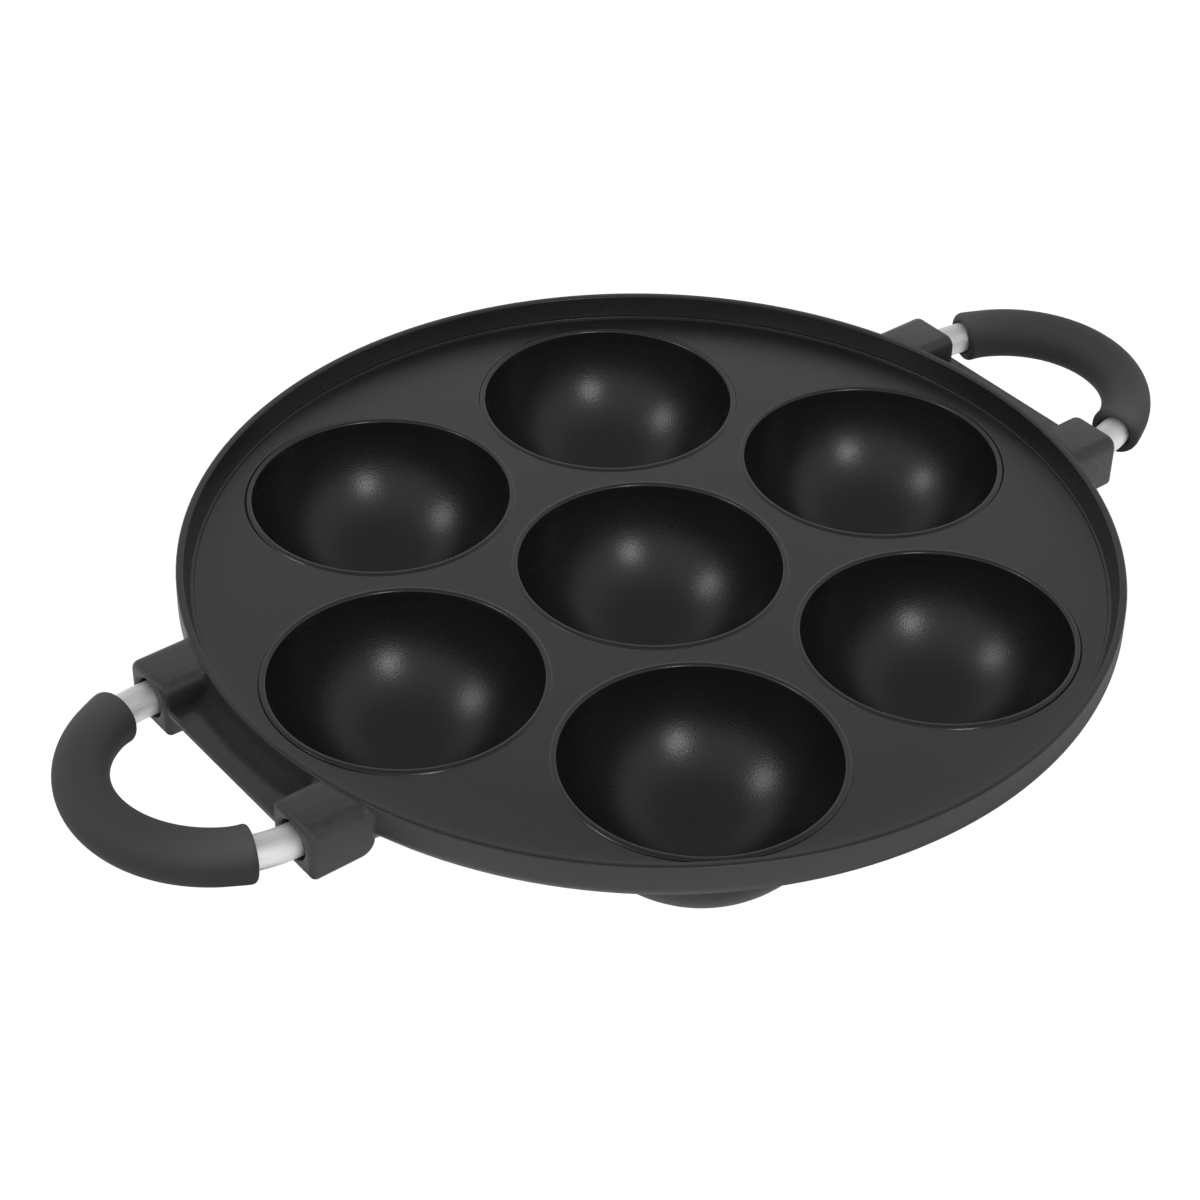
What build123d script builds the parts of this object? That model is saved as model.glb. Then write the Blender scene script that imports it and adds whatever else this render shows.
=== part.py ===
"""Takoyaki pan: an aluminium casting with seven round cups and two loop handles.

All sizes are in millimetres.  The origin lies on the pan's axis, on the surface
that the pan stands on.  +Z points up, and +X runs along the line of the handles.
"""
from build123d import *
import os
from math import sqrt

# ---------------------------------------------------------------- pan casting
rim_height = 40.0             # resting surface to the top of the rim
lip_height = 34.1             # plane of the seven cup lips

pan_radius = 114.1            # outside of the rim at its top
wall_foot_radius = 114.3      # outside of the wall just above its rounded foot
wall_foot_round = 4.0
rim_inner_radius = 112.2      # inside edge of the rim's flat top
rim_edge_break = 0.4

plate_underside = lip_height - 4.1
floor_centre = lip_height - 0.35      # the floor is a shallow dome,
floor_edge = lip_height - 1.40        # lowest where the gutter starts
gutter_radius = 106.4
ledge_inner_radius = 110.6    # the small step left by the turned inside wall
ledge_outer_radius = 111.0
ledge_level = lip_height + 0.65

# ----------------------------------------------------------------------- cups
outer_cups = 6                # and one more in the centre
cup_pitch_radius = 72.4
cup_mouth_radius = 32.1       # the inside is a half sphere
cup_outer_radius = 34.25
cup_outer_centre = lip_height + 0.7
lip_inner_break = 0.5
lip_outer_break = 1.0

foot_pad_radius = 10.0        # flat, machined bottom of each cup
foot_pad_root_radius = 11.5   # where the drafted pad grows out of the cup

# ------------------------------------------------------- handle bosses and web
handle_span = 59.5            # between the two ends of one handle
boss_width = 15.6
boss_height = 14.0
boss_corner_round = 2.5
boss_face_break = 1.3
boss_root_round = 2.5
boss_face_x = 123.1
boss_root_x = 106.3
handle_axis_height = lip_height - 1.2
handle_rise = 2.6             # degrees: the loops lift a little outwards

web_face_x = 122.5            # thin plate that ties two bosses together
web_root_x = 100.0
web_top = lip_height
web_thickness = 2.4
web_cove = 3.2                # hollow corner between the web and the wall
cove_overlap = 0.3            # how far the hollow corner's crest sinks into the wall

# -------------------------------------------------------------------- handles
rod_radius = 4.0
rod_depth = 11.0              # how far each end goes into its boss
rod_end_break = 0.6
bend_offset = 0.3             # straight rod outside the boss before the bend

seat_clearance = 0.1          # radial, rod in its seat
seat_depth = 11.5
mouth_radius = 4.95           # wider cored mouth round the rod
mouth_depth = 3.5
mouth_break = 0.4

sleeve_radius = 6.4
sleeve_end_radius = 6.8      # the soft sleeve swells a little at its ends
sleeve_half_angle = 73.0      # degrees of the bend on each side of its middle
sleeve_swell_angle = 10.0     # degrees over which the end swells
sleeve_clearance = 0.1
sleeve_end_break = 1.0
sleeve_dish_radius = 5.3
sleeve_dish_depth = 3.0

# ----------------------------------------------------------- retaining screws
screw_inset = 6.0             # from the boss face inwards
screw_radius = 1.5
screw_clearance = 0.15
screw_head_radius = 2.8
screw_head_height = 1.8
screw_head_break = 0.6
spot_face_radius = 3.3
spot_face_depth = 0.3          # shallow cut that gives each screw head a square seat
screw_tip = 1.0               # where the screw ends, below the rod's axis

bend_radius = handle_span / 2
screw_seat = spot_face_depth - boss_height / 2    # the head's seat, from the rod's axis
cup_places = [Pos(0, 0, 0)] + PolarLocations(cup_pitch_radius, outer_cups).locations
upwards = (Align.CENTER, Align.CENTER, Align.MIN)
downwards = (Align.CENTER, Align.CENTER, Align.MAX)
handle_plane = Plane(
    origin=(boss_face_x, 0, handle_axis_height),
    x_dir=Vector(1, 0, 0).rotate(Axis.Y, -handle_rise),
    z_dir=Vector(0, 0, 1).rotate(Axis.Y, -handle_rise),
)


def turned(section):
    """Revolve a section, drawn as radius and height, about the Z axis."""
    return revolve(Plane.XZ * section, Axis.Z, 360)


def corner(section, point):
    """The corner of a section that lies at a point."""
    return section.vertices().sort_by_distance((*point, 0))[0]


def disc_blank():
    """The plate and its rim as a solid disc with a rounded foot to its wall."""
    foot = (wall_foot_radius, plate_underside)
    brow = (pan_radius, rim_height)
    section = make_face(Polyline((0, plate_underside), foot, brow, (0, rim_height), close=True))
    section = fillet(corner(section, foot), wall_foot_round)
    section = chamfer(corner(section, brow), rim_edge_break)
    return turned(section)


def tray_hollow():
    """The space above the floor: domed floor, gutter, turned step and inner wall."""
    above = rim_height + 5
    sag = (floor_centre - floor_edge) / 4
    dome = ThreePointArc(
        (0, floor_centre), (gutter_radius / 2, floor_centre - sag), (gutter_radius, floor_edge)
    )
    gutter = TangentArc(
        (gutter_radius, floor_edge), (ledge_inner_radius, ledge_level), tangent=dome % 1
    )
    wall = Polyline(
        (ledge_inner_radius, ledge_level),
        (ledge_outer_radius, ledge_level),
        (rim_inner_radius, rim_height - rim_edge_break),
        (rim_inner_radius + rim_edge_break, rim_height),
        (rim_inner_radius + rim_edge_break, above),
        (0, above),
        (0, floor_centre),
    )
    return turned(make_face([dome, gutter, wall]))


def ball_height(radius):
    """Height of a cup's outside at a distance from the cup's own axis."""
    return cup_outer_centre - sqrt(cup_outer_radius**2 - radius**2)


def cup_blank():
    """One cup as a solid: a ball segment with a bevelled lip and a flat foot pad."""
    lip_radius = sqrt(cup_outer_radius**2 - (cup_outer_centre - lip_height)**2)
    half_way = cup_outer_radius * sqrt(0.5)
    pad_root = (foot_pad_root_radius, ball_height(foot_pad_root_radius))
    lip = (lip_radius, lip_height)
    flank = ThreePointArc(pad_root, (half_way, ball_height(half_way)), lip)
    rest = Polyline(lip, (0, lip_height), (0, 0), (foot_pad_radius, 0), pad_root)
    section = make_face([flank, rest])
    return turned(chamfer(corner(section, lip), lip_outer_break))


def cup_hollow():
    """The half sphere that holds the batter, opened upwards through the lip."""
    ball = Pos(0, 0, lip_height) * Sphere(cup_mouth_radius)
    bowl = split(ball, Plane.XY.offset(lip_height), keep=Keep.BOTTOM)
    mouth = Cone(cup_mouth_radius, cup_mouth_radius + 2 * lip_inner_break, 2 * lip_inner_break, align=upwards)
    return bowl + Pos(0, 0, lip_height - lip_inner_break) * mouth


def boss(side):
    """One block on the wall that takes a rod end; side is its sign of Y."""
    length = boss_face_x - boss_root_x
    centre_y = side * bend_radius
    front = Plane.YZ.offset(boss_root_x) * Pos(centre_y, handle_axis_height)
    block = extrude(front * RectangleRounded(boss_width, boss_height, boss_corner_round), length)
    block = chamfer(block.faces().sort_by(Axis.X)[-1].edges(), boss_face_break)
    root_low = (boss_root_x, handle_axis_height - boss_height / 2)
    flank = Pos(boss_root_x + length / 2, handle_axis_height) * Rectangle(length, boss_height)
    flank = fillet(corner(flank, root_low), boss_root_round)
    return block & Pos(0, centre_y, 0) * extrude(Plane.XZ * flank, boss_width / 2, both=True)


def web():
    """The thin plate between two bosses, with the hollow corner along the wall."""
    length = web_face_x - web_root_x
    block = (Align.MIN, Align.CENTER, Align.MIN)
    underside = Pos(web_root_x, 0, web_top - web_thickness)
    plate = underside * Box(length, handle_span, web_thickness, align=block)
    crest = (pan_radius - cove_overlap, web_top + web_cove)
    toe = (pan_radius + web_cove, web_top)
    inside = (pan_radius - web_cove, web_top)
    cove = make_face([RadiusArc(crest, toe, -web_cove), Polyline(toe, inside, crest)])
    reach = Pos(web_root_x, 0, web_top) * Box(length, handle_span, web_cove, align=block)
    return plate + (turned(cove) & reach)


def handle_side():
    """What the casting carries for the handle on the +X side: two bosses and the web."""
    return web() + boss(1) + boss(-1)


def screw_line(side):
    """Where one retaining screw stands: on the rod's axis, square to the rod."""
    return handle_plane * Pos(-screw_inset, side * bend_radius, 0)


def rod_seat(side):
    """The blind bore for one rod end, with its wider mouth, and the screw's hole below it."""
    inwards = handle_plane * Pos(0, side * bend_radius, 0) * Rot(0, -90, 0)
    seat = Cylinder(rod_radius + seat_clearance, seat_depth, align=upwards)
    mouth = Cylinder(mouth_radius, mouth_depth, align=upwards)
    flare = Pos(0, 0, -mouth_break) * Cone(
        mouth_radius + 2 * mouth_break, mouth_radius, 2 * mouth_break, align=upwards
    )
    hole = Cylinder(screw_radius + screw_clearance, boss_height, align=downwards)
    spot_face = Pos(0, 0, screw_seat) * Cylinder(spot_face_radius, boss_height, align=downwards)
    return inwards * (seat + mouth + flare) + screw_line(side) * (hole + spot_face)


def both_hands(shape):
    """The shape on the right, and its twin on the left, turned half way round."""
    return {"right": shape, "left": Rot(0, 0, 180) * shape}


def pan_casting():
    """The whole casting, built in the order of its forms."""
    body = disc_blank()
    for side in both_hands(handle_side()).values():
        body += side
    body -= tray_hollow()
    body += [place * cup_blank() for place in cup_places]
    body -= [place * cup_hollow() for place in cup_places]
    for seats in both_hands(rod_seat(1) + rod_seat(-1)).values():
        body -= seats
    return body


def bend_station(angle):
    """Plane square to the bend, at an angle from the middle of the loop."""
    arc = CenterArc((bend_offset, 0), bend_radius, angle, 1)
    return Plane(origin=arc @ 0, z_dir=arc % 0)


def bend(section_radius, half_angle):
    """A round bar bent to the loop's radius, out to an angle on each side."""
    pivot = Axis((bend_offset, 0, 0), (0, 0, 1))
    return revolve(bend_station(-half_angle) * Circle(section_radius), pivot, 2 * half_angle)


def handle_rod():
    """One bent stainless rod, drilled from below for its two screws."""
    rod = bend(rod_radius, 90)
    length = rod_depth + bend_offset
    for side in (1, -1):
        leg = chamfer(
            Cylinder(rod_radius, length, align=upwards).edges().group_by(Axis.Z)[-1], rod_end_break
        )
        rod += Pos(bend_offset, side * bend_radius, 0) * Rot(0, -90, 0) * leg
    rod = handle_plane * rod
    for side in (1, -1):
        rod -= screw_line(side) * Cylinder(
            screw_radius + screw_clearance, rod_radius + 1, align=downwards
        )
    return rod


def sleeve_end(side):
    """The last stretch of a sleeve, before it is bored: it swells towards its end."""
    turns = [sleeve_half_angle - sleeve_swell_angle, sleeve_half_angle]
    stations = [bend_station(side * turn) for turn in turns]
    swell = loft([stations[0] * Circle(sleeve_radius), stations[1] * Circle(sleeve_end_radius)])
    face = swell.faces().sort_by_distance(stations[1].origin)[0]
    return chamfer(face.edges(), sleeve_end_break)


def grip_sleeve():
    """One soft sleeve: a hollow ring section along the bend, with two dished ends."""
    body = bend(sleeve_radius, sleeve_half_angle - sleeve_swell_angle)
    body += [sleeve_end(1), sleeve_end(-1)]
    body -= bend(rod_radius + sleeve_clearance, 90)
    for side in (1, -1):
        dish = Cone(sleeve_dish_radius, rod_radius / 2, sleeve_dish_depth, align=upwards)
        body -= bend_station(side * sleeve_half_angle) * Rot(90 + 90 * side, 0, 0) * dish
    return handle_plane * body


def retaining_screw(side):
    """One screw from below, through the boss into the rod."""
    shank = Pos(0, 0, screw_seat) * Cylinder(screw_radius, -screw_tip - screw_seat, align=upwards)
    head = Pos(0, 0, screw_seat) * Cylinder(screw_head_radius, screw_head_height, align=downwards)
    head = chamfer(head.edges().group_by(Axis.Z)[0], screw_head_break)
    return screw_line(side) * (shank + head)


def main():
    """Write each piece as a STEP file named after its node."""
    os.makedirs("parts", exist_ok=True)
    export_step(pan_casting(), "parts/pan_casting.step")
    for name, piece in (("handle_rod", handle_rod()), ("grip_sleeve", grip_sleeve())):
        for hand, shape in both_hands(piece).items():
            export_step(shape, f"parts/{name}_{hand}.step")
    for side in (1, -1):
        for hand, shape in both_hands(retaining_screw(side)).items():
            end = "back" if shape.center().Y > 0 else "front"
            export_step(shape, f"parts/retaining_screw_{hand}_{end}.step")


main()
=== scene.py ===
"""Dresses a cast takoyaki pan: the coated casting, two bent steel rods, two soft sleeves, four screws.

Sizes are in millimetres unless a name says otherwise, in the same frame as the solids: the
origin is on the pan's axis in the plane it stands on, +Z is up and +X runs along the handles.
Shapes are turned into metres only where a mesh is made. An edge is picked by where its middle
is, give or take HAIR, and by whether its direction is more than ALONG an axis or less than
ACROSS it. Points nearer than MERGE are one. ENDS are the signs of Y of a handle's two ends.
"""
from __future__ import annotations

import logging
import math
from dataclasses import dataclass, field
from enum import Enum
from typing import Callable, Iterable

import bpy
from mathutils import Matrix, Vector

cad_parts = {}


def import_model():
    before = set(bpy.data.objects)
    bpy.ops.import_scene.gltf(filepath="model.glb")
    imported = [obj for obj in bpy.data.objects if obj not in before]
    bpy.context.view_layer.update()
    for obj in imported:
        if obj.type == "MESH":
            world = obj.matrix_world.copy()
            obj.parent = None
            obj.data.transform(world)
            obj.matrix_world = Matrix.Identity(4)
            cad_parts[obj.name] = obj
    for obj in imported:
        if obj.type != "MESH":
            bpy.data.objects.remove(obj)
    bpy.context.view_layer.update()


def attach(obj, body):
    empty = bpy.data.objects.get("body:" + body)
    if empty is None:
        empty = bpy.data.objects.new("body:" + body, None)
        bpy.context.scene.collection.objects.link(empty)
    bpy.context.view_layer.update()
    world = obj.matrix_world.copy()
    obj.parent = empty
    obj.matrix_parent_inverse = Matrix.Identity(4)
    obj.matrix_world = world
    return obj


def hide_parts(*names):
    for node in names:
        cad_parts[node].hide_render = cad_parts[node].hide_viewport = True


MM = 0.001
LOG = logging.getLogger("takoyaki_pan")
BODY = "root"
CUP_PITCH_RADIUS = 72.4
HAIR = 0.01
MERGE = 0.002
ALONG = 0.9
ACROSS = 0.1
WHITE = (1.0, 1.0, 1.0, 1.0)
ENDS = (1, -1)

Point = tuple[float, float]
Place = tuple[float, float, float]
Colour = tuple[float, float, float]
EdgeTest = Callable[[Vector, Vector], bool]
Piece = bpy.types.Object
Material = bpy.types.Material
Socket = bpy.types.NodeSocket


class Hand(Enum):
    """The two handle sides of the pan, by the sign of X."""

    RIGHT = 1
    LEFT = -1

    @property
    def title(self) -> str:
        """The side's name, as the nodes have it."""
        return self.name.lower()


class Cut(Enum):
    """How one solid acts on another."""

    ADD = "UNION"
    TAKE = "DIFFERENCE"


# ---------------------------------------------------------------- modelling bench


@dataclass
class Outline:
    """A section drawn point by point, to be turned or pulled into a solid."""

    points: list[Point] = field(default_factory=list)

    def line(self, *ends: Point) -> Outline:
        """Adds straight runs.

        Args:
            ends: the points to run to, in order.

        Returns:
            The outline itself, so that calls chain.
        """
        self.points.extend(ends)
        return self

    def arc(self, centre: Point, radius: float, start: float, end: float, steps: int) -> Outline:
        """Adds an arc.

        Args:
            centre: the arc's centre.
            radius: its radius.
            start: the angle in degrees at which it starts.
            end: the angle in degrees at which it ends.
            steps: the number of straight pieces that make it.

        Returns:
            The outline itself.
        """
        for i in range(steps + 1):
            angle = math.radians(start + (end - start) * i / steps)
            across, up = radius * math.cos(angle), radius * math.sin(angle)
            self.points.append((centre[0] + across, centre[1] + up))
        return self

    def soft(self, corner: Point, end: Point, steps: int) -> Outline:
        """Adds a curve that leaves towards a corner and arrives from it.

        Args:
            corner: the corner that the curve rounds off.
            end: where the curve ends.
            steps: the number of straight pieces that make it.

        Returns:
            The outline itself.
        """
        start = self.points[-1]
        for i in range(1, steps + 1):
            t = i / steps
            u = 1 - t
            parts = zip(start, corner, end)
            self.points.append(tuple(u * u * a + 2 * u * t * b + t * t * c for a, b, c in parts))
        return self


@dataclass(frozen=True)
class Station:
    """One round section of a bar that is drawn flat: its centre, heading in degrees and radius."""

    x: float
    y: float
    heading: float
    radius: float


class Bench:
    """The few hand operations that every piece is modelled with."""

    @staticmethod
    def clear() -> None:
        """Leaves nothing selected and Blender in object mode."""
        if bpy.context.object and bpy.context.object.mode != "OBJECT":
            bpy.ops.object.mode_set(mode="OBJECT")
        bpy.ops.object.select_all(action="DESELECT")

    @staticmethod
    def take(piece: Piece) -> None:
        """Makes one piece the only selected and active one.

        Args:
            piece: the piece to take up.
        """
        Bench.clear()
        piece.select_set(True)
        bpy.context.view_layer.objects.active = piece

    @staticmethod
    def fresh(name: str) -> Piece:
        """Names the piece that was just added, and keeps its place in its mesh.

        Args:
            name: the name it gets.

        Returns:
            The piece.
        """
        piece = bpy.context.object
        piece.name = name
        bpy.ops.object.transform_apply(location=True, rotation=True, scale=True)
        return piece

    @staticmethod
    def drop(piece: Piece) -> None:
        """Deletes a piece that is used up."""
        Bench.take(piece)
        bpy.ops.object.delete()

    @staticmethod
    def edit(piece: Piece, elements: str = "VERT") -> None:
        """Opens a piece for editing with all of it selected.

        Args:
            piece: the piece to open.
            elements: what is selected: VERT, EDGE or FACE.
        """
        Bench.take(piece)
        bpy.ops.object.mode_set(mode="EDIT")
        bpy.ops.mesh.select_mode(type=elements)
        bpy.ops.mesh.select_all(action="SELECT")

    @staticmethod
    def pick_edges(piece: Piece, wanted: EdgeTest) -> None:
        """Opens a piece with only some edges selected.

        Args:
            piece: the piece to open.
            wanted: given an edge's middle in millimetres and its direction, says whether to take it.
        """
        Bench.edit(piece, "EDGE")
        bpy.ops.mesh.select_all(action="DESELECT")
        bpy.ops.object.mode_set(mode="OBJECT")
        points = piece.data.vertices
        for edge in piece.data.edges:
            a, b = (points[i].co for i in edge.vertices)
            edge.select = wanted((a + b) / 2 / MM, (b - a).normalized())
        bpy.ops.object.mode_set(mode="EDIT")

    @staticmethod
    def bevel(piece: Piece, wanted: EdgeTest, radius: float, steps: int) -> None:
        """Rounds some edges of a piece.

        Args:
            piece: the piece to change.
            wanted: given an edge's middle in millimetres and its direction, says whether to round it.
            radius: the radius of the round.
            steps: the number of facets across it.
        """
        Bench.pick_edges(piece, wanted)
        bpy.ops.mesh.bevel(offset=radius * MM, segments=steps, affect="EDGES")
        Bench.clear()

    @staticmethod
    def fill(name: str, places: Iterable[Vector]) -> Piece:
        """Draws a flat face with a chain of points as its edge.

        Args:
            name: the name of the piece.
            places: the points in millimetres.

        Returns:
            The new piece, open in edit mode with all of it selected.
        """
        piece = Bench.thread(name, places)
        bpy.ops.mesh.edge_face_add()
        return piece

    @staticmethod
    def pull(move: Vector) -> None:
        """Pulls what is selected into a solid, by a move in metres."""
        bpy.ops.mesh.extrude_region_move(TRANSFORM_OT_translate={"value": move})

    @staticmethod
    def thread(name: str, places: Iterable[Vector]) -> Piece:
        """Draws a chain of points by extruding one point from place to place.

        Args:
            name: the name of the piece.
            places: the places in millimetres.

        Returns:
            The new piece, open in edit mode with all of it selected.
        """
        places = [Vector(place) * MM for place in places]
        Bench.clear()
        bpy.ops.mesh.primitive_plane_add(size=MM, location=places[0])
        piece = Bench.fresh(name)
        Bench.edit(piece)
        bpy.ops.mesh.merge(type="CENTER")
        for last, place in zip(places, places[1:]):
            bpy.ops.mesh.extrude_vertices_move(TRANSFORM_OT_translate={"value": place - last})
        bpy.ops.mesh.select_all(action="SELECT")
        return piece

    @staticmethod
    def spin(angle: float, steps: int) -> None:
        """Spins what is selected about the Z axis, by an angle in degrees from +X towards +Y."""
        bpy.ops.mesh.spin(steps=steps, angle=-math.radians(angle), center=(0, 0, 0), axis=(0, 0, 1))

    @staticmethod
    def heal(piece: Piece) -> Piece:
        """Merges doubles at seams and poles and turns all faces outwards.

        Args:
            piece: the piece, open or closed for editing.

        Returns:
            The same piece, closed.
        """
        Bench.edit(piece)
        bpy.ops.mesh.remove_doubles(threshold=MERGE * MM)
        bpy.ops.mesh.normals_make_consistent(inside=False)
        Bench.clear()
        return piece

    @staticmethod
    def turn(name: str, outline: Outline, steps: int) -> Piece:
        """Turns an outline of radius and height about the Z axis.

        Args:
            name: the name of the piece.
            outline: the section, which starts and ends on the axis.
            steps: the number of facets round the piece.

        Returns:
            The closed, round piece.
        """
        piece = Bench.thread(name, [Vector((radius, 0, height)) for radius, height in outline.points])
        Bench.spin(360.0, steps)
        return Bench.heal(piece)

    @staticmethod
    def bar(name: str, stations: list[Station], facets: int, capped: bool) -> Piece:
        """Pulls a ring from station to station, turning and sizing it on the way.

        Args:
            name: the name of the piece.
            stations: the sections in order.
            facets: the number of facets round the bar.
            capped: whether the bar has flat ends; otherwise its last ring has to meet its first.

        Returns:
            The closed piece, drawn flat in the plane of the bend.
        """
        first = stations[0]
        turn = math.radians(first.heading + 90)
        start = Vector((first.x, first.y, 0)) * MM
        Bench.clear()
        bpy.ops.mesh.primitive_circle_add(
            vertices=facets, radius=first.radius * MM, location=start, rotation=(math.pi / 2, 0, turn)
        )
        piece = Bench.fresh(name)
        Bench.edit(piece)
        if capped:
            bpy.ops.mesh.edge_face_add()
        for last, here in zip(stations, stations[1:]):
            centre = Vector((here.x, here.y, 0)) * MM
            step = centre - Vector((last.x, last.y, 0)) * MM
            Bench.pull(step)
            turn = math.radians(here.heading - last.heading)
            if turn:
                bpy.ops.transform.rotate(value=-turn, orient_axis="Z", center_override=centre)
            growth = here.radius / last.radius
            if growth != 1.0:
                bpy.ops.transform.resize(value=(growth, growth, growth), center_override=centre)
        return Bench.heal(piece)

    @staticmethod
    def block(name: str, low: Vector, high: Vector) -> Piece:
        """A plain block, as the start of a shape.

        Args:
            name: the name of the piece.
            low: its lowest corner, in millimetres.
            high: its highest corner, in millimetres.

        Returns:
            The block.
        """
        Bench.clear()
        bpy.ops.mesh.primitive_cube_add(size=1, location=(low + high) / 2 * MM, scale=(high - low) * MM)
        return Bench.fresh(name)

    @staticmethod
    def move(piece: Piece, move: Matrix) -> Piece:
        """Puts a piece somewhere else, in its mesh.

        Args:
            piece: the piece to move.
            move: how it moves, in metres.

        Returns:
            The same piece.
        """
        Bench.take(piece)
        piece.matrix_world = move @ piece.matrix_world
        bpy.context.view_layer.update()
        bpy.ops.object.transform_apply(location=True, rotation=True, scale=True)
        Bench.clear()
        return piece

    @staticmethod
    def copy(piece: Piece, name: str, move: Matrix) -> Piece:
        """A copy with its own mesh, put in place in that mesh.

        Args:
            piece: the piece to copy.
            name: the copy's name.
            move: where it goes, in metres.

        Returns:
            The copy.
        """
        Bench.take(piece)
        bpy.ops.object.duplicate(linked=False)
        twin = bpy.context.object
        twin.name = name
        return Bench.move(twin, move)

    @staticmethod
    def join(pieces: list[Piece]) -> Piece:
        """Joins pieces that don't touch.

        Args:
            pieces: the pieces to join.

        Returns:
            The first of them, which now holds them all.
        """
        Bench.take(pieces[0])
        for piece in pieces[1:]:
            piece.select_set(True)
        bpy.ops.object.join()
        Bench.clear()
        return pieces[0]

    @staticmethod
    def combine(target: Piece, tool: Piece, how: Cut) -> None:
        """Adds a tool solid to a target, or takes it away, and uses the tool up.

        Args:
            target: the solid that changes.
            tool: the solid that acts on it.
            how: whether it is added or taken away.
        """
        Bench.take(target)
        bpy.ops.object.modifier_add(type="BOOLEAN")
        boolean = target.modifiers[-1]
        boolean.operation = how.value
        boolean.solver = "MANIFOLD"
        boolean.object = tool
        bpy.ops.object.modifier_apply(modifier=boolean.name)
        Bench.drop(tool)

    @staticmethod
    def smooth(piece: Piece, angle: float = 32.0) -> None:
        """Shades a piece smooth, apart from its sharp edges.

        Args:
            piece: the piece to shade.
            angle: the angle in degrees from which an edge counts as sharp.
        """
        Bench.take(piece)
        bpy.ops.object.shade_smooth_by_angle(angle=math.radians(angle))
        Bench.clear()

    @staticmethod
    def finish(piece: Piece, node: str, slot: str, material: Material, what: str) -> None:
        """Puts a piece on the pan in place of the solid that it stands for.

        Args:
            piece: the finished piece.
            node: the solid that it stands for.
            slot: not used.
            material: its finish.
            what: what the piece is, for the log.
        """
        Bench.smooth(piece)
        piece.data.materials.clear()
        piece.data.materials.append(material)
        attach(piece, BODY)
        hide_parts(node)
        LOG.info("%s: %s, %d faces", piece.name, what, len(piece.data.polygons))


# ------------------------------------------------------------------------ finishes


@dataclass(frozen=True)
class Grain:
    """A soft noise: the size of its features in millimetres, its finer layers and their strength."""

    size: float
    detail: float = 2.0
    rough: float = 0.5


class Signal:
    """A value that changes over a surface; arithmetic on it adds maths nodes."""

    def __init__(self, graph: Graph, socket: Socket) -> None:
        """Wraps an output socket of a graph's node."""
        self.graph = graph
        self.socket = socket

    def _math(self, operation: str, first: object, second: object) -> Signal:
        """Adds one maths node.

        Args:
            operation: the node's operation.
            first: its first number or signal.
            second: its second number or signal.

        Returns:
            The node's result.
        """
        node = self.graph.node("ShaderNodeMath", {"operation": operation}, {0: first, 1: second})
        return Signal(self.graph, node.outputs[0])

    def __add__(self, other: object) -> Signal:
        """This plus another."""
        return self._math("ADD", self, other)

    def __radd__(self, other: object) -> Signal:
        """Another plus this."""
        return self._math("ADD", other, self)

    def __sub__(self, other: object) -> Signal:
        """This minus another."""
        return self._math("SUBTRACT", self, other)

    def __rsub__(self, other: object) -> Signal:
        """Another minus this."""
        return self._math("SUBTRACT", other, self)

    def __mul__(self, other: object) -> Signal:
        """This times another."""
        return self._math("MULTIPLY", self, other)

    def __rmul__(self, other: object) -> Signal:
        """Another times this."""
        return self._math("MULTIPLY", other, self)

    def __pow__(self, other: object) -> Signal:
        """This to a power."""
        return self._math("POWER", self, other)

    def through(self, operation: str, other: object = 0.0) -> Signal:
        """This put through another maths operation, with a second value where it takes one."""
        return self._math(operation, self, other)

    def over(self, limit: float, width: float) -> Signal:
        """Rises smoothly from 0 to 1 as this passes a limit.

        Args:
            limit: the value at which the result is one half.
            width: over how much it rises.

        Returns:
            The mask.
        """
        sockets = {"Value": self, "From Min": limit - width / 2, "From Max": limit + width / 2}
        node = self.graph.node("ShaderNodeMapRange", {"interpolation_type": "SMOOTHSTEP"}, sockets)
        return Signal(self.graph, node.outputs[0])


class Graph:
    """A node tree, and the only place that adds nodes to it."""

    def __init__(self, tree: bpy.types.NodeTree) -> None:
        """Takes up a tree."""
        self.tree = tree

    def plug(self, socket: Socket, value: object) -> None:
        """Links a signal or socket to an input, or sets the input to a plain value.

        Args:
            socket: the input.
            value: the signal, socket or plain value that it gets.
        """
        if isinstance(value, Signal):
            value = value.socket
        if isinstance(value, Socket):
            self.tree.links.new(value, socket)
        else:
            socket.default_value = value

    def node(
        self, kind: str, settings: dict[str, object], sockets: dict[object, object]
    ) -> bpy.types.Node:
        """Adds a node.

        Args:
            kind: the node's type.
            settings: its own settings, which are set first.
            sockets: values or links of its inputs, by name or number.

        Returns:
            The new node.
        """
        node = self.tree.nodes.new(kind)
        for name, value in settings.items():
            setattr(node, name, value)
        for name, value in sockets.items():
            self.plug(node.inputs[name], value)
        return node

    def axes(self, place: Socket) -> tuple[Signal, Signal, Signal]:
        """The X, Y and Z of a place or direction."""
        split = self.node("ShaderNodeSeparateXYZ", {}, {0: place})
        return tuple(Signal(self, output) for output in split.outputs)

    def noise(self, place: Socket, grain: Grain) -> Signal:
        """Soft noise from 0 to 1.

        Args:
            place: the coordinates it reads, in millimetres.
            grain: what it is like.

        Returns:
            The noise.
        """
        layers = {"Detail": grain.detail, "Roughness": grain.rough}
        sockets = {"Vector": place, "Scale": 1 / grain.size, **layers}
        return Signal(self, self.node("ShaderNodeTexNoise", {}, sockets).outputs[0])

    def tint(self, share: Signal, dark: Colour, light: Colour) -> Socket:
        """A colour between two.

        Args:
            share: where it lies between them, from 0 to 1.
            dark: the colour at 0.
            light: the colour at 1.

        Returns:
            The colour.
        """
        settings = {"data_type": "RGBA", "clamp_factor": True}
        sockets = {0: share, 6: (*dark, 1.0), 7: (*light, 1.0)}
        return self.node("ShaderNodeMix", settings, sockets).outputs[2]


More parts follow.
